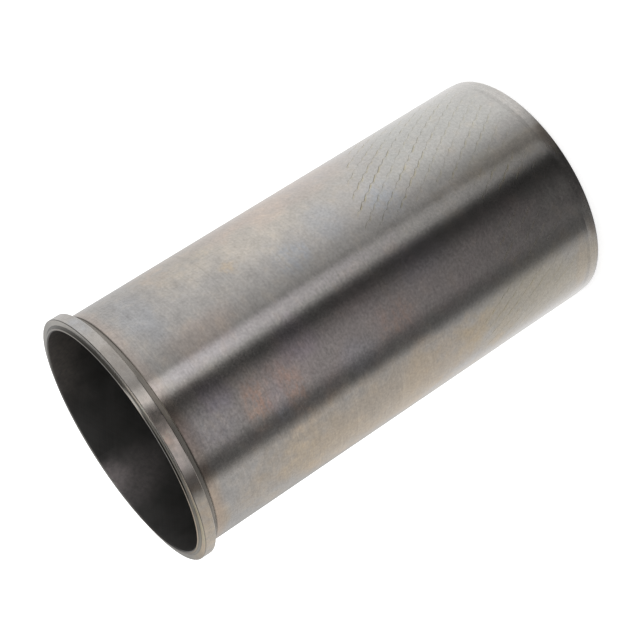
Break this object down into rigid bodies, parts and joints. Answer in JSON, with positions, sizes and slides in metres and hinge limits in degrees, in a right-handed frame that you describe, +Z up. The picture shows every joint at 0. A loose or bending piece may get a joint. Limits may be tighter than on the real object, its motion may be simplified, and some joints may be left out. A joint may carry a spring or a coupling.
{
  "type": "cylinder liner",
  "caption": "Thin-walled dry cylinder liner with a ground outside, a flange with a raised fire ring, a relief groove under the flange and a tapered tail.",
  "frame": {"origin": "centre of the tail's end face, on the bore's axis", "axes": "+Z up the bore's axis, from the tail to the flange; the liner is round, so X and Y are free"},
  "size_m": [0.1146, 0.1146, 0.2135],
  "materials": {
    "liner_steel": "ground outside, turned flange and groove, dark coated bore"
  },
  "bodies": {
    "root": {"cylinder_liner": "liner_steel"}
  },
  "joints": []
}
